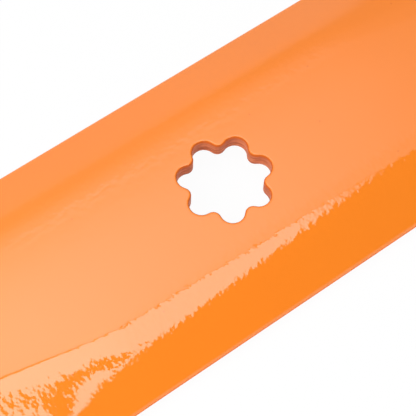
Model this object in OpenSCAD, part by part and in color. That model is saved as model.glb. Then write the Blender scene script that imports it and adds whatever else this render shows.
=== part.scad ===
// Rotary mower blade: one strip of spring steel, pressed to shape, with a star-shaped mounting hole.
// The blade lies on its turned-down edges. X runs along it, Z is up, and the hole's axis is the Z axis.
// Seen from above it turns clockwise: each half leads with a ground edge and trails a raised lift wing.

/* [Strip] */
// Overall length, tip to tip
blade_length = 533; // [420:1:620]
// Width across the turned-down edges at the hub
blade_width = 63.5; // [58:0.1:72]
// Thickness of the steel strip
strip_thickness = 3.8; // [3:0.1:5]
// Rounding of the long edges
edge_round = 1.1; // [0.4:0.1:1.4]
// Rounding of the tip corners, seen from above
corner_round = 6; // [2:0.5:10]

/* [Turned-down edges] */
// Half width of the flat that lies between the two bends at the hub
flat_half = 14.7; // [13.5:0.1:18]
// Bend radius at mid thickness
bend_radius = 20; // [10:0.5:24]
// Angle of the turned-down strips, in degrees
turn_down = 23; // [12:0.5:27]
// Half length of the plain stretch at the hub, up to where the trailing bends open out
hub_reach = 39; // [30:1:50]
// Length over which a trailing bend opens out, until it begins at the wing's line
bend_open = 39.5; // [30:0.5:60]

/* [Lift wings] */
// Distance from the hole's axis at which the wings begin to rise
wing_start = 50; // [44:1:70]
// Angle of the wings at the tips, in degrees
wing_lift = 40; // [20:1:45]
// Bend radius of the wings at mid thickness
wing_bend_radius = 16; // [10:0.5:19]
// Distance of the wing's bend from the blade's middle line at the tips
wing_line = 7; // [5:0.1:10]
// Length over which the turned-down angle fades out ahead of the wing
turn_fade = 60; // [40:1:90]
// Length over which the wing's bend crosses the strip
wing_sweep = 46; // [30:1:70]
// Length over which the wing rises to its full angle
wing_rise = 100; // [70:1:130]

/* [Cutting edges] */
// Length of each ground edge
cut_length = 115; // [80:1:140]
// Width of the ground bevel
cut_width = 6; // [4:0.1:8]
// Height that is left at the ground edge
cut_land = 0.8; // [0.4:0.1:1.2]
// Length over which the bevel runs out towards the hub
cut_runout = 22; // [14:1:30]

/* [Star hole] */
// Number of points of the star
star_points = 7; // [6:1:8]
// Diameter of the star over its lobes
star_over = 22.1; // [20.8:0.1:25]
// Depth of the teeth between the lobes
tooth_depth = 2.5; // [1.9:0.1:2.8]
// Radius of each lobe
lobe_radius = 2.8; // [2.4:0.1:3.2]
// Radius of the rolled lip round the top of the hole
lip_radius = 0.5; // [0.3:0.1:1.2]

/* [Hidden] */
coat_orange = [0.996, 0.541, 0.157];

// How finely the pressed shape is divided
strip_steps = 12;
bevel_steps = 3;
form_steps = 26;
round_steps = 3;
tip_steps = 4;
lobe_steps = 5;
tooth_steps = 4;
lip_steps = 4;

// The strip is bent, not stretched: the distance from the middle line to the edge stays the same
half_length = blade_length / 2;
half_thickness = strip_thickness / 2;
bend_arc = bend_radius * turn_down * PI / 180;
bend_middle = flat_half + bend_arc / 2;
wing_arc = wing_bend_radius * wing_lift * PI / 180;
strip_run = (blade_width / 2 - flat_half - bend_radius * sin(turn_down)) / cos(turn_down);
half_strip = flat_half + bend_arc + strip_run;
// Sections are flat up to here on every part of the blade
inner_line = min(wing_line, flat_half);
cut_slope = (strip_thickness - cut_land) / cut_width;

// The star's lobes and teeth are arcs that run into each other
star_step = 360 / star_points;
lobe_ring = star_over / 2 - lobe_radius;
tooth_reach = star_over / 2 - tooth_depth;
tooth_radius = (lobe_ring ^ 2 + tooth_reach ^ 2 - lobe_radius ^ 2
    - 2 * lobe_ring * tooth_reach * cos(star_step / 2))
    / (2 * (lobe_radius + lobe_ring * cos(star_step / 2) - tooth_reach));
tooth_ring = tooth_reach + tooth_radius;
flank = atan2(tooth_ring * sin(star_step / 2), tooth_ring * cos(star_step / 2) - lobe_ring);
// Largest lip, as a share of the rounding of the teeth
lip_limit = 0.8;
lip = min(lip_radius, tooth_radius * lip_limit);
// Share of the lip's radius that lies under the top face, so that the lip meets the face at an angle
lip_sink = 0.9;
// How far the punch stands past both faces
clear = 1;

// Share of a long ramp over which each of its ends is eased
end_share = 0.15;

// Ramps from 0 to 1: straight, eased all the way, and straight with eased ends
function ramp(from, to, v) = min(1, max(0, (v - from) / (to - from)));
function ease(from, to, v) =
    let (s = ramp(from, to, v))
    s * s * (3 - 2 * s);
function long_ramp(from, to, v) =
    let (s = ramp(from, to, v))
    let (bow = 2 * end_share * (1 - end_share))
    s < end_share ? s * s / bow
    : s > 1 - end_share ? 1 - (1 - s) * (1 - s) / bow
    : (s - end_share / 2) / (1 - end_share);
function mix(a, b, s) = a + (b - a) * s;

// A side leads or trails: the side at +Y trails on the +X half, the side at -Y on the -X half
function trails(side, x) = side * x > 0;

// How far the trailing strip has eased from the hub's form into the wing, by distance from the hole's axis
function opening(x) = long_ramp(hub_reach, hub_reach + bend_open, abs(x));
function fade(x) = ease(wing_start, wing_start + turn_fade, abs(x));
function sweep(x) = ease(wing_start, wing_start + wing_sweep, abs(x));
function rise(x) = ease(wing_start, wing_start + wing_rise, abs(x));

// Tilt of the strip at a distance u from the middle line, in degrees, upwards positive
function down_tilt(side, x, u) =
    let (angle = trails(side, x) ? mix(turn_down, 0, fade(x)) : turn_down)
    let (half = trails(side, x) ? mix(bend_arc / 2, bend_middle - wing_line, opening(x)) : bend_arc / 2)
    -angle * ramp(bend_middle - half, bend_middle + half, u);
function wing_tilt(side, x, u) =
    let (line = mix(half_strip, wing_line, sweep(x)))
    trails(side, x) ? wing_lift * rise(x) * ramp(line, line + wing_arc, u) : 0;
function tilt(side, x, u) = down_tilt(side, x, u) + wing_tilt(side, x, u);

// Distance from the middle line to the edge, less at the rounded tip corners
function reach(x) =
    let (past = max(0, abs(x) - half_length + corner_round))
    half_strip - corner_round + sqrt(max(0, corner_round ^ 2 - past ^ 2));

// Distances from the middle line at which a section is worked out, closer together on the bevel
function strip_grid(x) =
    let (crease = reach(x) - cut_width)
    [
        for (k = [0:strip_steps]) mix(inner_line, crease, k / strip_steps),
        for (k = [1:bevel_steps]) mix(crease, reach(x) - edge_round, k / bevel_steps)
    ];

// Places on the strip at mid thickness: [y, z, tilt], with the tilt taken half way along each step
function strip_path(side, x) =
    let (us = strip_grid(x))
    [
        for (
            k = 0, y = us[0], z = 0;
            k < len(us);
            step = k + 1 < len(us) ? us[k + 1] - us[k] : 0,
            along = k + 1 < len(us) ? tilt(side, x, (us[k] + us[k + 1]) / 2) : 0,
            y = y + step * cos(along),
            z = z + step * sin(along),
            k = k + 1
        )
        [y, z, tilt(side, x, us[k])]
    ];

// Height of the ground bevel over mid thickness, at a distance inwards from the edge
function ground(side, x, inwards) =
    let (start = half_length - cut_length)
    let (depth = trails(side, x) ? 0 : ease(start - cut_runout, start, abs(x)))
    (1 - depth) * strip_thickness - half_thickness + cut_land + inwards * cut_slope;

// A point at v over mid thickness and a past a place on the strip
function off(place, a, v) = [
    place[0] + a * cos(place[2]) - v * sin(place[2]),
    place[1] + a * sin(place[2]) + v * cos(place[2])
];

// Half a section: outwards along the top, round the edge and back along the underside
function half_section(side, x) =
    let (path = strip_path(side, x))
    let (us = strip_grid(x))
    let (last = path[len(path) - 1])
    let (round_at = half_thickness - edge_round)
    [
        for (k = [0:len(path) - 1])
            off(path[k], 0, min(half_thickness, ground(side, x, reach(x) - us[k]))),
        for (q = [1:round_steps])
            let (a = edge_round * sin(90 * q / round_steps))
            let (v = round_at + edge_round * cos(90 * q / round_steps))
            off(last, a, min(v, ground(side, x, edge_round - a))),
        for (q = [0:round_steps - 1])
            let (a = edge_round * cos(90 * q / round_steps))
            let (v = -round_at - edge_round * sin(90 * q / round_steps))
            off(last, a, min(v, ground(side, x, edge_round - a))),
        for (k = [len(path) - 1:-1:0])
            off(path[k], 0, -half_thickness)
    ];

function reversed(list) = [for (k = [len(list) - 1:-1:0]) list[k]];
function section(x) = [
    for (p = half_section(1, x)) [x, p[0], p[1]],
    for (p = reversed(half_section(-1, x))) [x, -p[0], p[1]]
];

// Distances from the hole's axis at which sections stand, and the same on both halves
tip_start = half_length - corner_round;
half_stations = [
    for (k = [0:form_steps]) mix(hub_reach, tip_start, k / form_steps),
    for (k = [1:tip_steps]) tip_start + corner_round * sin(90 * k / tip_steps)
];
stations = concat([for (x = reversed(half_stations)) -x], half_stations);

// The blade lies on its turned-down edges
skin_points = [for (x = stations) each section(x)];
rest_depth = -min([for (p = skin_points) p[2]]);
hub_top = rest_depth + half_thickness;

// Skin between the sections, and the two end faces
ring = len(section(hub_reach));
half_ring = ring / 2;
skin_faces = [
    for (s = [0:len(stations) - 2])
        for (j = [0:ring - 1])
            let (a = s * ring + j)
            let (b = s * ring + (j + 1) % ring)
            each [[a, b, b + ring], [a, b + ring, a + ring]]
];
end_strips = [
    for (start = [0, half_ring])
        for (j = [0:half_ring / 2 - 2])
            let (near_j = start + j)
            let (far_j = start + half_ring - 1 - j)
            each [[near_j, near_j + 1, far_j - 1], [near_j, far_j - 1, far_j]],
    [0, half_ring - 1, half_ring],
    [0, half_ring, ring - 1]
];
last_ring = (len(stations) - 1) * ring;
end_faces = concat(
    [for (f = end_strips) reversed(f)],
    [for (f = end_strips) [for (j = f) j + last_ring]]
);

// The pressed strip, before the hole is punched
module pressed_strip() {
    translate([0, 0, rest_depth])
        polyhedron(points = skin_points, faces = concat(skin_faces, end_faces));
}

// Outline of the star, grown outwards at the lip, with one lobe towards +Y
function arc_point(ring_at, turn, r, at) = [
    ring_at * cos(turn) + r * cos(turn + at),
    ring_at * sin(turn) + r * sin(turn + at)
];
function star_outline(grow) = [
    for (k = [0:star_points - 1])
        let (lobe_turn = 90 + k * star_step)
        let (tooth_turn = lobe_turn + star_step / 2)
        each concat(
            [
                for (q = [-lobe_steps:lobe_steps])
                    arc_point(lobe_ring, lobe_turn, lobe_radius + grow, flank * q / lobe_steps)
            ],
            [
                for (q = [tooth_steps - 1:-1:1 - tooth_steps])
                    let (at = 180 + (flank - star_step / 2) * q / tooth_steps)
                    arc_point(tooth_ring, tooth_turn, tooth_radius - grow, at)
            ]
        )
];

// The punch: the outline at several heights over the strip's top, flared where the lip rolls in
punch_levels = [
    [-strip_thickness - clear, 0],
    for (q = [0:lip_steps])
        let (at = 90 * q / lip_steps)
        [lip * (sin(at) - lip_sink), lip * (1 - cos(at))],
    [clear, lip]
];
star_ring = len(star_outline(0));
punch_top = (len(punch_levels) - 1) * star_ring;
punch_points = [
    for (level = punch_levels)
        for (p = star_outline(level[1])) [p[0], p[1], level[0]],
    [0, 0, -strip_thickness - clear],
    [0, 0, clear]
];
punch_faces = [
    for (j = [0:star_ring - 1])
        let (next = (j + 1) % star_ring)
        each concat(
            [
                for (level = [0:len(punch_levels) - 2])
                    let (a = level * star_ring + j)
                    let (b = level * star_ring + next)
                    each [[a, a + star_ring, b + star_ring], [a, b + star_ring, b]]
            ],
            [[punch_top + star_ring, j, next]],
            [[punch_top + star_ring + 1, punch_top + next, punch_top + j]]
        )
];
module star_punch() {
    polyhedron(points = punch_points, faces = punch_faces);
}

module blade() {
    color(coat_orange)
        difference() {
            pressed_strip();
            translate([0, 0, hub_top])
                star_punch();
        }
}

blade();
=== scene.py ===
"""Rotary mower blade: one strip of spring steel, punched, pressed and powder coated in orange."""

import math
from functools import lru_cache

import bmesh
import bpy
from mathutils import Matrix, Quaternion, Vector


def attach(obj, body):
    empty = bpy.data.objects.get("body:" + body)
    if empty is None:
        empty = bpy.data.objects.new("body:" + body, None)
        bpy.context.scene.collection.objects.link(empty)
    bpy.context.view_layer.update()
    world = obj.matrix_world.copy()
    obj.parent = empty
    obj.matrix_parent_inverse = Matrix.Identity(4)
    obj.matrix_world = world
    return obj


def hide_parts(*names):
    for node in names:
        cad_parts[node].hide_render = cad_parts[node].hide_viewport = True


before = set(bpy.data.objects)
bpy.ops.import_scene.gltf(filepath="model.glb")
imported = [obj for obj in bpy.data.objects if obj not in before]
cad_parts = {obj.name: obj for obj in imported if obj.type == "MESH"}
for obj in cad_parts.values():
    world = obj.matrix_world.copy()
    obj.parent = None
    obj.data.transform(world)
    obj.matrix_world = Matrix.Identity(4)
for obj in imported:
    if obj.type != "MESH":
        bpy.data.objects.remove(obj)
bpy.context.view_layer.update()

MM = 0.001

# Sizes of the strip and of its pressed form, as in the part's source
BLADE_LENGTH = 533 * MM
BLADE_WIDTH = 63.5 * MM
STRIP_THICKNESS = 3.8 * MM
EDGE_ROUND = 1.1 * MM
CORNER_ROUND = 6 * MM
FLAT_HALF = 14.7 * MM
BEND_RADIUS = 20 * MM
TURN_DOWN = math.radians(23)
HUB_REACH = 39 * MM
BEND_OPEN = 39.5 * MM
WING_START = 50 * MM
WING_LIFT = math.radians(40)
WING_BEND_RADIUS = 16 * MM
WING_LINE = 7 * MM
TURN_FADE = 60 * MM
WING_SWEEP = 46 * MM
WING_RISE = 100 * MM
CUT_LENGTH = 115 * MM
CUT_WIDTH = 6 * MM
CUT_LAND = 0.8 * MM
CUT_RUNOUT = 22 * MM
STAR_POINTS = 7
STAR_OVER = 22.1 * MM
TOOTH_DEPTH = 2.5 * MM
LOBE_RADIUS = 2.8 * MM
LIP_RADIUS = 0.5 * MM
END_SHARE = 0.15

# Lengths that follow from them
HALF_LENGTH = BLADE_LENGTH / 2
HALF_THICKNESS = STRIP_THICKNESS / 2
BEND_ARC = BEND_RADIUS * TURN_DOWN
BEND_MIDDLE = FLAT_HALF + BEND_ARC / 2
WING_ARC = WING_BEND_RADIUS * WING_LIFT
STRIP_RUN = (BLADE_WIDTH / 2 - FLAT_HALF - BEND_RADIUS * math.sin(TURN_DOWN)) / math.cos(TURN_DOWN)
HALF_STRIP = FLAT_HALF + BEND_ARC + STRIP_RUN
CUT_SLOPE = (STRIP_THICKNESS - CUT_LAND) / CUT_WIDTH

# How finely the blank is divided
LOBE_STEPS = 5
TOOTH_STEPS = 3
PATCH_RINGS = 4
LIP_MARGIN = 0.25 * MM
LIP_SEGMENTS = 6
EDGE_SEGMENTS = 6
PATH_STEPS = 160
ALONG_STEP = 2 * MM
ALONG_TIP_STEP = 1 * MM
BEND_STEPS = 12
RUN_STEPS = 4
GROUND_STEPS = 5
RIM_CELL = 1.6 * MM
SAME_PLACE = 0.001 * MM
SHARP_ANGLE = math.radians(35)

# Upward share of a face's normal past which the face belongs to the broad sides
BROAD_AT_HOLE = 0.8
# Steeper rim faces take the edge coat, whose darker orange is painted shade
BROAD_AT_EDGE = 0.7

# Order of the blade's materials
COAT, WALL, EDGE = range(3)

# Paint, wall and stage colours, linear
COAT_ORANGE = (0.985, 0.247, 0.0155, 1)
COAT_DEEP = (0.97, 0.235, 0.0145, 1)
COAT_SPECK = (0.66, 0.08, 0.006, 1)
WALL_BROWN = (0.52, 0.108, 0.03, 1)
WALL_PALE = (0.8, 0.26, 0.11, 1)
RIM_ORANGE = (0.66, 0.13, 0.016, 1)
# The darker orange for the strip's edges is painted shade, standing in for the dark line along the rounded
# edges
EDGE_SHADE_ORANGE = (0.95, 0.17, 0.012, 1)
PAPER_WHITE = (0.9, 0.9, 0.9, 1)

# Patterns of the finish, with scales in cells per metre and heights as lengths.
# A pair is where a soft step starts and where it ends.
CLOUD_SCALE = 45
CLOUD_DETAIL = 3
COAT_ROUGHNESS = (0.015, 0.035)
COAT_INDEX = 1.5
COAT_SHINE = 1.0
SPECK_SCALE = 60
SPECK_CHOSEN = (0.6, 0.62)
SPECK_CORE = (0.025, 0.005)
SPECK_SHARE = 0.25
RIPPLE_SCALE = 700
RIPPLE_DETAIL = 1
RIPPLE_HEIGHT = 0.035 * MM
RIPPLE_SWELLS = (11 * MM, 16 * MM)
RIPPLE_ON_FLAT = 0.2
RIPPLE_CALMS = (36 * MM, 54 * MM)
RIPPLE_FAR_OUT = 0.26
WALL_STRETCH = 7
WALL_GRAIN_SCALE = 260
WALL_GRAIN_DETAIL = 3
WALL_GRAIN_BITE = 0.6
WALL_GRAIN_HEIGHT = 0.1 * MM
WALL_STREAK = (0.3, 0.7)
WALL_ROUGHNESS = 0.5
WALL_SHINE = 0.2
RIM_FADES = (0.85 * MM, 0.35 * MM)
EDGE_CLOUD_SCALE = 300
EDGE_CLOUD_HEIGHT = 0.03 * MM
EDGE_ROUGHNESS = 0.5
EDGE_SHINE = 0.2

# Light tent, laid out on a ceiling one unit up: across to the right and away to the rear.
# A line is a share of across, a share of away and an offset, and is 0 along its length.
LOWEST_SKY = 0.05
NEAR_RIGHT_LINE = (-0.894, 0.449, 0.397)
NEAR_RIGHT_SIDE = (-0.005, 0.03)
NEAR_FRONT_LINE = (2.1, 1, 0.095)
NEAR_FRONT_SIDE = (-0.02, 0.02)
NEAR_LEFT_SIDE = (-0.2, -0.05)
NEAR_LEVELS = (2.5, 3.15)
NEAR_LEVELS_ACROSS = (0.3, 0.05)
NEAR_DIMMED = 0.5
NEAR_DIMS_ACROSS = (0.345, 0.395)
SEAM_LINE = (0.9, 1, -0.391)
SEAM_NEAR_SIDE = (0, -0.015)
SEAM_FAR_SIDE = (0.004, 0.02)
BAR_BOW = 0.065
BAR_LEAST_ACROSS = 0.03
BAR_FRONT_SIDE = (-0.755, -0.745)
BAR_REAR_SIDE = (-0.65, -0.66)
BAR_RIGHT_END = (0.21, 0.18)
FAR_LEFT_SIDE = (-0.4, -0.2)
FAR_LEVEL_LINE = (-3.3, 2.3)
FAR_HIGHEST = 1.8
FAR_FALLS_STEEPLY = (0.36, 0.472)
FAR_FALLS_GENTLY = (1.2, 0.46)
FAR_STEEP_SHARE = 0.58
FAR_STEEP_POWER = 3
FAR_GENTLE_POWER = 2
GAP_LEVELS = (0.06, 0.5)
GAP_BRIGHTENS_AWAY = (0.15, 0.6)
GAP_DIMMED = 0.8
GAP_DIMS_ACROSS = (0.46, 0.56)
WALLS_LEVEL = 0.68
WALLS_HEIGHT = (0.76, 0.42)
CARD_LEVEL = 2.4
CARD_FOOT = (0.02, 0.08)
CARD_TOP = (0.24, 0.18)
CARD_LEFT_SIDE = (0.42, 0.62)
CARD_REAR_SIDE = (-0.3, -0.6)

# Lamps and floor
LAMP_SIZE = 250 * MM
KEY_PLACE = Vector((-290, 5, 295)) * MM
KEY_POWER = 1.2
FILL_PLACE = Vector((190, -240, 240)) * MM
FILL_POWER = 0.2
FLOOR_RADIUS = 6
FLOOR_SIDES = 64
FLOOR_GLOW = 0.96

# Camera: its place, the point it looks at, its roll and its lens
CAMERA_PLACE = Vector((-95.61, -114.93, 284.966)) * MM
CAMERA_AIM = Vector((-7.585, -3.661, 8.82)) * MM
CAMERA_ROLL = math.radians(2.7515)
CAMERA_LENS = 121.29
SENSOR_WIDTH = 36
CLIP_START = 10 * MM


def ramp(start, end, value):
    return min(1.0, max(0.0, (value - start) / (end - start)))


def ease(start, end, value):
    share = ramp(start, end, value)
    return share * share * (3 - 2 * share)


def long_ramp(start, end, value):
    """A straight ramp with eased ends."""
    share = ramp(start, end, value)
    bow = 2 * END_SHARE * (1 - END_SHARE)
    if share < END_SHARE:
        return share * share / bow
    if share > 1 - END_SHARE:
        return 1 - (1 - share) ** 2 / bow
    return (share - END_SHARE / 2) / (1 - END_SHARE)


def mix(a, b, share):
    return a + (b - a) * share


# Star hole

def star_outline(grow):
    """Points round the star, from the middle of the lobe at +Y, counter-clockwise seen from above."""
    step = 2 * math.pi / STAR_POINTS
    lobe_ring = STAR_OVER / 2 - LOBE_RADIUS
    tooth_reach = STAR_OVER / 2 - TOOTH_DEPTH
    reach_along = lobe_ring * math.cos(step / 2)
    tooth_radius = (
        lobe_ring**2 + tooth_reach**2 - LOBE_RADIUS**2 - 2 * reach_along * tooth_reach
    ) / (2 * (LOBE_RADIUS + reach_along - tooth_reach))
    tooth_ring = tooth_reach + tooth_radius
    flank = math.atan2(tooth_ring * math.sin(step / 2), tooth_ring * math.cos(step / 2) - lobe_ring)

    def arc_point(ring, turn, radius, at):
        return Vector((
            ring * math.cos(turn) + radius * math.cos(turn + at),
            ring * math.sin(turn) + radius * math.sin(turn + at),
            0,
        ))

    points = []
    for k in range(STAR_POINTS):
        lobe_turn = math.pi / 2 + k * step
        for q in range(-LOBE_STEPS, LOBE_STEPS + 1):
            points.append(arc_point(lobe_ring, lobe_turn, LOBE_RADIUS + grow, flank * q / LOBE_STEPS))
        for q in range(TOOTH_STEPS - 1, -TOOTH_STEPS, -1):
            at = math.pi + (flank - step / 2) * q / TOOTH_STEPS
            points.append(arc_point(tooth_ring, lobe_turn + step / 2, tooth_radius - grow, at))
    return points[LOBE_STEPS:] + points[:LOBE_STEPS]


def square_outline(count):
    """As many points round the square patch at the hub, from the middle of its far side."""
    side = 2 * FLAT_HALF
    corners = [
        Vector((FLAT_HALF, FLAT_HALF, 0)),
        Vector((-FLAT_HALF, FLAT_HALF, 0)),
        Vector((-FLAT_HALF, -FLAT_HALF, 0)),
        Vector((FLAT_HALF, -FLAT_HALF, 0)),
    ]
    points = []
    for k in range(count):
        along = (side / 2 + k * 4 * side / count) % (4 * side)
        corner = int(along // side)
        share = along / side - corner
        points.append(corners[corner].lerp(corners[(corner + 1) % 4], share))
    return points


# Flat blank

def pull(bm, chain, places, closed=False):
    """Extrudes a chain of vertices, moves the new vertices to their places and returns them."""
    ends = chain[1:] + chain[:1] if closed else chain[1:]
    edges = [bm.edges.get(pair) for pair in zip(chain, ends)]
    made = bmesh.ops.extrude_edge_only(bm, edges=edges)["geom"]
    fresh = {item for item in made if isinstance(item, bmesh.types.BMVert)}
    pulled = []
    for vert, place in zip(chain, places):
        partner = next(e.other_vert(vert) for e in vert.link_edges if e.other_vert(vert) in fresh)
        partner.co = place
        pulled.append(partner)
    return pulled


def steps_between(start, end, count):
    return [mix(start, end, (k + 1) / count) for k in range(count)]


def places_across():
    """Distances from the middle line, from the hub's flat to the edge."""
    bend_end = FLAT_HALF + BEND_ARC
    crease = HALF_STRIP - CUT_WIDTH
    return (
        steps_between(FLAT_HALF, bend_end, BEND_STEPS)
        + steps_between(bend_end, crease, RUN_STEPS)
        + steps_between(crease, HALF_STRIP - RIM_CELL, GROUND_STEPS)
        + [HALF_STRIP]
    )


def places_along():
    """Distances from the hole's axis, from the hub's patch to the tip."""
    corner = HALF_LENGTH - CORNER_ROUND - ALONG_STEP
    rim = HALF_LENGTH - RIM_CELL
    return (
        steps_between(FLAT_HALF, corner, round((corner - FLAT_HALF) / ALONG_STEP))
        + steps_between(corner, rim, round((rim - corner) / ALONG_TIP_STEP))
        + [HALF_LENGTH]
    )


def flat_sheet(bm):
    """The blank as a sheet without thickness: a patch round the star, then strips pulled out of it."""
    star = star_outline(0)
    square = square_outline(len(star))
    ring = bmesh.ops.create_circle(bm, segments=len(star), radius=STAR_OVER / 2)["verts"]
    for vert, place in zip(ring, star):
        vert.co = place
    lip = star_outline(LIP_RADIUS + LIP_MARGIN)
    for k in range(PATCH_RINGS + 1):
        places = [a.lerp(b, k / PATCH_RINGS) for a, b in zip(lip, square)]
        ring = pull(bm, ring, places, closed=True)
    for side in (1, -1):
        chain = sorted(
            (v for v in ring if abs(v.co.y - side * FLAT_HALF) < SAME_PLACE), key=lambda v: v.co.x
        )
        for across in places_across():
            chain = pull(bm, chain, [Vector((v.co.x, side * across, 0)) for v in chain])
    for side in (1, -1):
        chain = sorted(
            (v for v in bm.verts if abs(v.co.x - side * FLAT_HALF) < SAME_PLACE), key=lambda v: v.co.y
        )
        for along in places_along():
            chain = pull(bm, chain, [Vector((side * along, v.co.y, 0)) for v in chain])


def is_rim(vert):
    return (
        abs(abs(vert.co.y) - HALF_STRIP) < SAME_PLACE or abs(abs(vert.co.x) - HALF_LENGTH) < SAME_PLACE
    )


def is_star(vert):
    return math.hypot(vert.co.x, vert.co.y) < STAR_OVER / 2 + SAME_PLACE


def lies_flat(edge):
    a, b = edge.verts
    return abs(a.co.z - b.co.z) < SAME_PLACE


def round_over(bm, edges, radius, segments):
    bmesh.ops.bevel(
        bm,
        geom=edges,
        offset=radius,
        offset_type="OFFSET",
        segments=segments,
        profile=0.5,
        affect="EDGES",
        clamp_overlap=True,
        material=-1,
    )


def flat_blank():
    """The blank with its thickness, rounded edges and the rolled lip of the star hole."""
    bm = bmesh.new()
    flat_sheet(bm)
    bmesh.ops.recalc_face_normals(bm, faces=bm.faces[:])
    bmesh.ops.solidify(bm, geom=bm.faces[:], thickness=STRIP_THICKNESS)
    heights = [v.co.z for v in bm.verts]
    bmesh.ops.translate(bm, verts=bm.verts[:], vec=(0, 0, -(min(heights) + max(heights)) / 2))
    bmesh.ops.recalc_face_normals(bm, faces=bm.faces[:])
    lip_edges = [
        e for e in bm.edges
        if all(is_star(v) and v.co.z > 0 for v in e.verts) and e.calc_face_angle(0) > SHARP_ANGLE
    ]
    round_over(bm, lip_edges, LIP_RADIUS, LIP_SEGMENTS)
    rim_edges = [
        e for e in bm.edges
        if all(is_rim(v) for v in e.verts) and lies_flat(e) and e.calc_face_angle(0) > SHARP_ANGLE
    ]
    round_over(bm, rim_edges, EDGE_ROUND, EDGE_SEGMENTS)
    return bm


# Pressing

def trails(side, x):
    return side * x > 0


def tilt(side, x, u):
    """Tilt of the strip at a developed distance u from the middle line, upwards positive."""
    if not trails(side, x):
        return -TURN_DOWN * ramp(FLAT_HALF, FLAT_HALF + BEND_ARC, u)
    out = abs(x)
    opening = long_ramp(HUB_REACH, HUB_REACH + BEND_OPEN, out)
    fade = ease(WING_START, WING_START + TURN_FADE, out)
    sweep = ease(WING_START, WING_START + WING_SWEEP, out)
    rise = ease(WING_START, WING_START + WING_RISE, out)
    half = mix(BEND_ARC / 2, BEND_MIDDLE - WING_LINE, opening)
    down = -TURN_DOWN * (1 - fade) * ramp(BEND_MIDDLE - half, BEND_MIDDLE + half, u)
    wing_line = mix(HALF_STRIP, WING_LINE, sweep)
    return down + WING_LIFT * rise * ramp(wing_line, wing_line + WING_ARC, u)


@lru_cache(maxsize=None)
def section_path(side, x):
    """Places across and heights at mid thickness, at even developed distances from the middle line."""
    step = HALF_STRIP / PATH_STEPS
    across, height = [0.0], [0.0]
    for k in range(PATH_STEPS):
        along = tilt(side, x, (k + 0.5) * step)
        across.append(across[-1] + step * math.cos(along))
        height.append(height[-1] + step * math.sin(along))
    return across, height


def rounded_corner(x, u):
    """Moves a point of the square-cut blank so that the tip corners are quarter circles."""
    past_x = abs(x) - HALF_LENGTH + CORNER_ROUND
    past_u = abs(u) - HALF_STRIP + CORNER_ROUND
    if past_x <= 0 or past_u <= 0:
        return x, u
    shrink = max(past_x, past_u) / math.hypot(past_x, past_u)
    return (
        math.copysign(abs(x) - past_x * (1 - shrink), x),
        math.copysign(abs(u) - past_u * (1 - shrink), u),
    )


def edge_distance(x, u):
    """Distance inwards from the long edge of the blank."""
    past = max(0.0, abs(x) - HALF_LENGTH + CORNER_ROUND)
    edge = HALF_STRIP - CORNER_ROUND + math.sqrt(max(0.0, CORNER_ROUND**2 - past**2))
    return edge - abs(u)


def ground_height(side, x, inwards):
    """Height over mid thickness up to which the leading edge is ground away."""
    start = HALF_LENGTH - CUT_LENGTH
    depth = 0.0 if trails(side, x) else ease(start - CUT_RUNOUT, start, abs(x))
    return (1 - depth) * STRIP_THICKNESS - HALF_THICKNESS + CUT_LAND + inwards * CUT_SLOPE


def pressed(point):
    """Where a point of the flat blank ends up on the pressed blade."""
    x, u = rounded_corner(point.x, point.y)
    side = 1 if u >= 0 else -1
    over = min(point.z, ground_height(side, x, edge_distance(x, u)))
    across, height = section_path(side, x)
    at = abs(u) / HALF_STRIP * PATH_STEPS
    k = min(int(at), PATH_STEPS - 1)
    y = mix(across[k], across[k + 1], at - k)
    z = mix(height[k], height[k + 1], at - k)
    lean = tilt(side, x, abs(u))
    return Vector((x, side * (y - over * math.sin(lean)), z + over * math.cos(lean)))


def material_of(face):
    """Index of a face's material on the flat blank: coat, wall of the hole or edge of the strip."""
    at_hole = face.calc_center_median().length < FLAT_HALF
    if abs(face.normal.z) > (BROAD_AT_HOLE if at_hole else BROAD_AT_EDGE):
        return COAT
    return WALL if at_hole else EDGE


def make_blade():
    """The pressed blade, and the height of its hub's upper face."""
    bm = flat_blank()
    for face in bm.faces:
        face.smooth = True
        face.material_index = material_of(face)
    for vert in bm.verts:
        vert.co = pressed(vert.co)
    lowest = min(v.co.z for v in bm.verts)
    bmesh.ops.translate(bm, verts=bm.verts[:], vec=(0, 0, -lowest))
    bm.normal_update()
    for edge in bm.edges:
        edge.smooth = edge.calc_face_angle(0) < SHARP_ANGLE
    mesh = bpy.data.meshes.new("pressed_blade")
    bm.to_mesh(mesh)
    bm.free()
    blade = bpy.data.objects.new("pressed_blade", mesh)
    bpy.context.scene.collection.objects.link(blade)
    return blade, HALF_THICKNESS - lowest


# Shader nodes

def feed(tree, socket, value):
    """Links a socket to another one, or sets it to a plain value."""
    if isinstance(value, bpy.types.NodeSocket):
        tree.links.new(value, socket)
    else:
        socket.default_value = value


def math_node(tree, operation, *values, clamp=False):
    node = tree.nodes.new("ShaderNodeMath")
    node.operation = operation
    node.use_clamp = clamp
    for socket, value in zip(node.inputs, values):
        feed(tree, socket, value)
    return node.outputs["Value"]


def product(tree, first, *others):
    result = first
    for other in others:
        result = math_node(tree, "MULTIPLY", result, other)
    return result


def blend(tree, share, start, end):
    """A value that runs from start to end while the share runs from 0 to 1."""
    return math_node(tree, "MULTIPLY_ADD", share, end - start, start)


def straight_step(tree, value, start, end):
    """0 at start and 1 at end, straight between them and level beyond; start may be the larger."""
    return math_node(tree, "MULTIPLY_ADD", value, 1 / (end - start), -start / (end - start), clamp=True)


def soft_step(tree, value, start, end):
    """0 at start and 1 at end, eased between them and level beyond; start may be the larger."""
    node = tree.nodes.new("ShaderNodeMapRange")
    node.interpolation_type = "SMOOTHSTEP"
    feed(tree, node.inputs["Value"], value)
    low, high, low_out, high_out = (start, end, 0, 1) if start < end else (end, start, 1, 0)
    node.inputs["From Min"].default_value = low
    node.inputs["From Max"].default_value = high
    node.inputs["To Min"].default_value = low_out
    node.inputs["To Max"].default_value = high_out
    return node.outputs["Result"]


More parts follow.
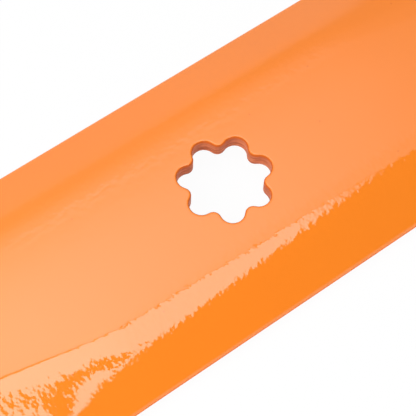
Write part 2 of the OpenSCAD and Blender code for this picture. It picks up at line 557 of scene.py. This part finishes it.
def separate(tree, vector):
    node = tree.nodes.new("ShaderNodeSeparateXYZ")
    feed(tree, node.inputs["Vector"], vector)
    return node.outputs


def noise(tree, vector, scale, detail, roughness=0.5):
    node = tree.nodes.new("ShaderNodeTexNoise")
    feed(tree, node.inputs["Vector"], vector)
    feed(tree, node.inputs["Scale"], scale)
    node.inputs["Detail"].default_value = detail
    node.inputs["Roughness"].default_value = roughness
    return node.outputs["Fac"]


def mix_colour(tree, share, a, b):
    node = tree.nodes.new("ShaderNodeMix")
    node.data_type = "RGBA"
    feed(tree, node.inputs["Factor"], share)
    feed(tree, node.inputs["A"], a)
    feed(tree, node.inputs["B"], b)
    return node.outputs["Result"]


def bump(tree, height, distance):
    node = tree.nodes.new("ShaderNodeBump")
    node.inputs["Distance"].default_value = distance
    feed(tree, node.inputs["Height"], height)
    return node.outputs["Normal"]


def new_material(name):
    material = bpy.data.materials.new(name)
    material.use_nodes = True
    tree = material.node_tree
    shader = tree.nodes["Principled BSDF"]
    place = tree.nodes.new("ShaderNodeTexCoord").outputs["Object"]
    return material, tree, shader, place


# Finish

def paint_cloud_group():
    """Node group that clouds two paints into each other, and puts out the cloud as well."""
    group = bpy.data.node_groups.new("paint_cloud", "ShaderNodeTree")
    for name, kind in (("Place", "Vector"), ("Scale", "Float"), ("Deep", "Color"), ("Bright", "Color")):
        group.interface.new_socket(name, in_out="INPUT", socket_type="NodeSocket" + kind)
    for name, kind in (("Paint", "Color"), ("Cloud", "Float")):
        group.interface.new_socket(name, in_out="OUTPUT", socket_type="NodeSocket" + kind)
    given = group.nodes.new("NodeGroupInput").outputs
    made = group.nodes.new("NodeGroupOutput").inputs
    cloud = noise(group, given["Place"], given["Scale"], CLOUD_DETAIL)
    feed(group, made["Paint"], mix_colour(group, cloud, given["Deep"], given["Bright"]))
    feed(group, made["Cloud"], cloud)
    return group


def clouded_paint(tree, paint_cloud, place, scale, deep, bright):
    node = tree.nodes.new("ShaderNodeGroup")
    node.node_tree = paint_cloud
    feed(tree, node.inputs["Place"], place)
    feed(tree, node.inputs["Scale"], scale)
    feed(tree, node.inputs["Deep"], deep)
    feed(tree, node.inputs["Bright"], bright)
    return node.outputs["Paint"], node.outputs["Cloud"]


def faint_specks(tree, place):
    """Mask of a few small specks in the coat."""
    cells = tree.nodes.new("ShaderNodeTexVoronoi")
    cells.voronoi_dimensions = "2D"
    feed(tree, cells.inputs["Vector"], place)
    cells.inputs["Scale"].default_value = SPECK_SCALE
    core = soft_step(tree, cells.outputs["Distance"], *SPECK_CORE)
    chosen = soft_step(tree, cells.outputs["Color"], *SPECK_CHOSEN)
    return product(tree, core, chosen, SPECK_SHARE)


def coat_ripple(tree, place):
    """Height of the coat's ripple, weak on the flat at the hub and calmer out towards the wings."""
    ripple = noise(tree, place, RIPPLE_SCALE, RIPPLE_DETAIL)
    parts = separate(tree, place)
    aside = math_node(tree, "ABSOLUTE", parts["Y"])
    out = math_node(tree, "ABSOLUTE", parts["X"])
    swell = blend(tree, soft_step(tree, aside, *RIPPLE_SWELLS), RIPPLE_ON_FLAT, 1)
    calm = blend(tree, soft_step(tree, out, *RIPPLE_CALMS), 1, RIPPLE_FAR_OUT)
    return product(tree, ripple, swell, calm)


def orange_coat(paint_cloud):
    """Glossy powder coat with faint specks and the fine ripple of orange peel."""
    material, tree, shader, place = new_material("orange_coat")
    paint, cloud = clouded_paint(tree, paint_cloud, place, CLOUD_SCALE, COAT_DEEP, COAT_ORANGE)
    feed(tree, shader.inputs["Base Color"], mix_colour(tree, faint_specks(tree, place), paint, COAT_SPECK))
    feed(tree, shader.inputs["Roughness"], blend(tree, cloud, *COAT_ROUGHNESS))
    shader.inputs["IOR"].default_value = COAT_INDEX
    shader.inputs["Specular IOR Level"].default_value = COAT_SHINE
    feed(tree, shader.inputs["Normal"], bump(tree, coat_ripple(tree, place), RIPPLE_HEIGHT))
    return material


def punched_wall(hub_top):
    """Torn steel of the punched wall under a thin, dull coat that is whole only near the upper rim."""
    material, tree, shader, place = new_material("punched_wall")
    drawn = tree.nodes.new("ShaderNodeMapping")
    feed(tree, drawn.inputs["Vector"], place)
    drawn.inputs["Scale"].default_value = (1, 1, WALL_STRETCH)
    grain = noise(tree, drawn.outputs["Vector"], WALL_GRAIN_SCALE, WALL_GRAIN_DETAIL, WALL_GRAIN_BITE)
    torn = mix_colour(tree, soft_step(tree, grain, *WALL_STREAK), WALL_BROWN, WALL_PALE)
    height = separate(tree, place)["Z"]
    painted = soft_step(tree, height, *[hub_top - depth for depth in RIM_FADES])
    feed(tree, shader.inputs["Base Color"], mix_colour(tree, painted, torn, RIM_ORANGE))
    shader.inputs["Roughness"].default_value = WALL_ROUGHNESS
    shader.inputs["Specular IOR Level"].default_value = WALL_SHINE
    feed(tree, shader.inputs["Normal"], bump(tree, grain, WALL_GRAIN_HEIGHT))
    return material


def shaded_edge_coat(paint_cloud):
    """The coat over the strip's edge, duller, and in a darker orange that is painted shade: it stands in
    for the dark line along the rounded edge.
    """
    material, tree, shader, place = new_material("shaded_edge_coat")
    paint, cloud = clouded_paint(tree, paint_cloud, place, EDGE_CLOUD_SCALE, EDGE_SHADE_ORANGE, COAT_DEEP)
    feed(tree, shader.inputs["Base Color"], paint)
    shader.inputs["Roughness"].default_value = EDGE_ROUGHNESS
    shader.inputs["Specular IOR Level"].default_value = EDGE_SHINE
    feed(tree, shader.inputs["Normal"], bump(tree, cloud, EDGE_CLOUD_HEIGHT))
    return material


# Stage

def paper_white():
    """White paper that keeps a shadow, and shows as plain white to the camera and in mirrors."""
    material = bpy.data.materials.new("paper_white")
    material.use_nodes = True
    tree = material.node_tree
    tree.nodes.clear()
    output = tree.nodes.new("ShaderNodeOutputMaterial")
    paper = tree.nodes.new("ShaderNodeBsdfDiffuse")
    paper.inputs["Color"].default_value = PAPER_WHITE
    glow = tree.nodes.new("ShaderNodeEmission")
    path = tree.nodes.new("ShaderNodeLightPath").outputs
    seen = math_node(tree, "MAXIMUM", path["Is Camera Ray"], path["Is Glossy Ray"])
    seen = math_node(tree, "MAXIMUM", seen, path["Is Transmission Ray"])
    mixed = tree.nodes.new("ShaderNodeMixShader")
    feed(tree, mixed.inputs["Fac"], product(tree, seen, FLOOR_GLOW))
    tree.links.new(paper.outputs["BSDF"], mixed.inputs[1])
    tree.links.new(glow.outputs["Emission"], mixed.inputs[2])
    tree.links.new(mixed.outputs["Shader"], output.inputs["Surface"])
    return material


def make_floor():
    bm = bmesh.new()
    bmesh.ops.create_circle(bm, cap_ends=True, segments=FLOOR_SIDES, radius=FLOOR_RADIUS)
    mesh = bpy.data.meshes.new("floor")
    bm.to_mesh(mesh)
    bm.free()
    floor = bpy.data.objects.new("floor", mesh)
    bpy.context.scene.collection.objects.link(floor)
    mesh.materials.append(paper_white())


def from_line(tree, across, away, line):
    """How far a place on the ceiling lies from a line, towards the side that its shares point to."""
    per_across, per_away, offset = line
    start = math_node(tree, "MULTIPLY_ADD", across, per_across, offset)
    return math_node(tree, "MULTIPLY_ADD", away, per_away, start)


def dark_bar(tree, across, away):
    """Mask of a bowed bar that hangs in front of the near panel."""
    bow = math_node(tree, "DIVIDE", BAR_BOW, math_node(tree, "MAXIMUM", across, BAR_LEAST_ACROSS))
    over = math_node(tree, "SUBTRACT", away, bow)
    return product(
        tree,
        soft_step(tree, over, *BAR_FRONT_SIDE),
        soft_step(tree, over, *BAR_REAR_SIDE),
        soft_step(tree, across, *BAR_RIGHT_END),
    )


def near_panel(tree, across, away):
    """Bright panel over the camera's side, brighter to the left and dimmer at its right end."""
    return product(
        tree,
        soft_step(tree, from_line(tree, across, away, NEAR_RIGHT_LINE), *NEAR_RIGHT_SIDE),
        soft_step(tree, from_line(tree, across, away, SEAM_LINE), *SEAM_NEAR_SIDE),
        soft_step(tree, from_line(tree, across, away, NEAR_FRONT_LINE), *NEAR_FRONT_SIDE),
        soft_step(tree, across, *NEAR_LEFT_SIDE),
        math_node(tree, "SUBTRACT", 1, dark_bar(tree, across, away)),
        blend(tree, soft_step(tree, across, *NEAR_LEVELS_ACROSS), *NEAR_LEVELS),
        blend(tree, soft_step(tree, across, *NEAR_DIMS_ACROSS), 1, NEAR_DIMMED),
    )


def far_panel(tree, across, away):
    """Panel beyond the seam, dimmer to the right, that falls off steeply and then gently to the rear."""
    gone = math_node(tree, "POWER", straight_step(tree, away, *FAR_FALLS_STEEPLY), FAR_STEEP_POWER)
    left = math_node(tree, "POWER", straight_step(tree, away, *FAR_FALLS_GENTLY), FAR_GENTLE_POWER)
    steep = blend(tree, gone, FAR_STEEP_SHARE, 0)
    rear = math_node(tree, "MULTIPLY_ADD", left, 1 - FAR_STEEP_SHARE, steep)
    level = math_node(tree, "MAXIMUM", math_node(tree, "MULTIPLY_ADD", across, *FAR_LEVEL_LINE), 0)
    return product(
        tree,
        soft_step(tree, from_line(tree, across, away, SEAM_LINE), *SEAM_FAR_SIDE),
        rear,
        soft_step(tree, across, *FAR_LEFT_SIDE),
        math_node(tree, "MINIMUM", level, FAR_HIGHEST),
    )


def dark_gap(tree, across, away):
    """What little light comes from beside the panels, more of it from the rear."""
    level = blend(tree, soft_step(tree, away, *GAP_BRIGHTENS_AWAY), *GAP_LEVELS)
    return product(tree, level, blend(tree, soft_step(tree, across, *GAP_DIMS_ACROSS), 1, GAP_DIMMED))


def tent_walls(tree, x, y, z):
    """White walls all round, and a low card in front at the right that the near edge mirrors."""
    walls = product(tree, soft_step(tree, z, *WALLS_HEIGHT), WALLS_LEVEL)
    card = product(
        tree,
        soft_step(tree, z, *CARD_FOOT),
        soft_step(tree, z, *CARD_TOP),
        soft_step(tree, x, *CARD_LEFT_SIDE),
        soft_step(tree, y, *CARD_REAR_SIDE),
    )
    return math_node(tree, "MULTIPLY_ADD", card, CARD_LEVEL, walls)


def light_tent():
    """White walls all round and two panels overhead, with dark gaps between them."""
    world = bpy.data.worlds.new("light_tent")
    bpy.context.scene.world = world
    world.use_nodes = True
    tree = world.node_tree
    x, y, z = separate(tree, tree.nodes.new("ShaderNodeTexCoord").outputs["Generated"])
    above = math_node(tree, "MAXIMUM", z, LOWEST_SKY)
    across = math_node(tree, "DIVIDE", x, above)
    away = math_node(tree, "DIVIDE", y, above)
    panels = math_node(tree, "ADD", near_panel(tree, across, away), far_panel(tree, across, away))
    rest = math_node(tree, "MAXIMUM", tent_walls(tree, x, y, z), dark_gap(tree, across, away))
    background = tree.nodes["Background"]
    feed(tree, background.inputs["Strength"], math_node(tree, "ADD", panels, rest))
    background.inputs["Color"].default_value = (1, 1, 1, 1)


def soft_box(name, place, power):
    """A lamp that lights the blade but isn't mirrored in the coat."""
    data = bpy.data.lights.new(name, "AREA")
    data.shape = "SQUARE"
    data.size = LAMP_SIZE
    data.energy = power
    lamp = bpy.data.objects.new(name, data)
    bpy.context.scene.collection.objects.link(lamp)
    lamp.location = place
    lamp.rotation_mode = "QUATERNION"
    lamp.rotation_quaternion = (-place).to_track_quat("-Z", "Y")
    lamp.visible_glossy = False


def make_camera():
    data = bpy.data.cameras.new("camera")
    data.lens = CAMERA_LENS
    data.sensor_width = SENSOR_WIDTH
    data.clip_start = CLIP_START
    camera = bpy.data.objects.new("camera", data)
    bpy.context.scene.collection.objects.link(camera)
    look = (CAMERA_AIM - CAMERA_PLACE).to_track_quat("-Z", "Y")
    camera.location = CAMERA_PLACE
    camera.rotation_mode = "QUATERNION"
    camera.rotation_quaternion = look @ Quaternion((0, 0, 1), CAMERA_ROLL)
    bpy.context.scene.camera = camera


make_camera()
light_tent()
soft_box("key_light", KEY_PLACE, KEY_POWER)
soft_box("fill_light", FILL_PLACE, FILL_POWER)
make_floor()

blade, hub_top = make_blade()
paint_cloud = paint_cloud_group()
blade.data.materials.append(orange_coat(paint_cloud))
blade.data.materials.append(punched_wall(hub_top))
# The edge coat's darker orange is painted shade along the strip's edges
blade.data.materials.append(shaded_edge_coat(paint_cloud))
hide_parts("blade")
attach(blade, "root")

bpy.context.scene.view_settings.view_transform = "Standard"
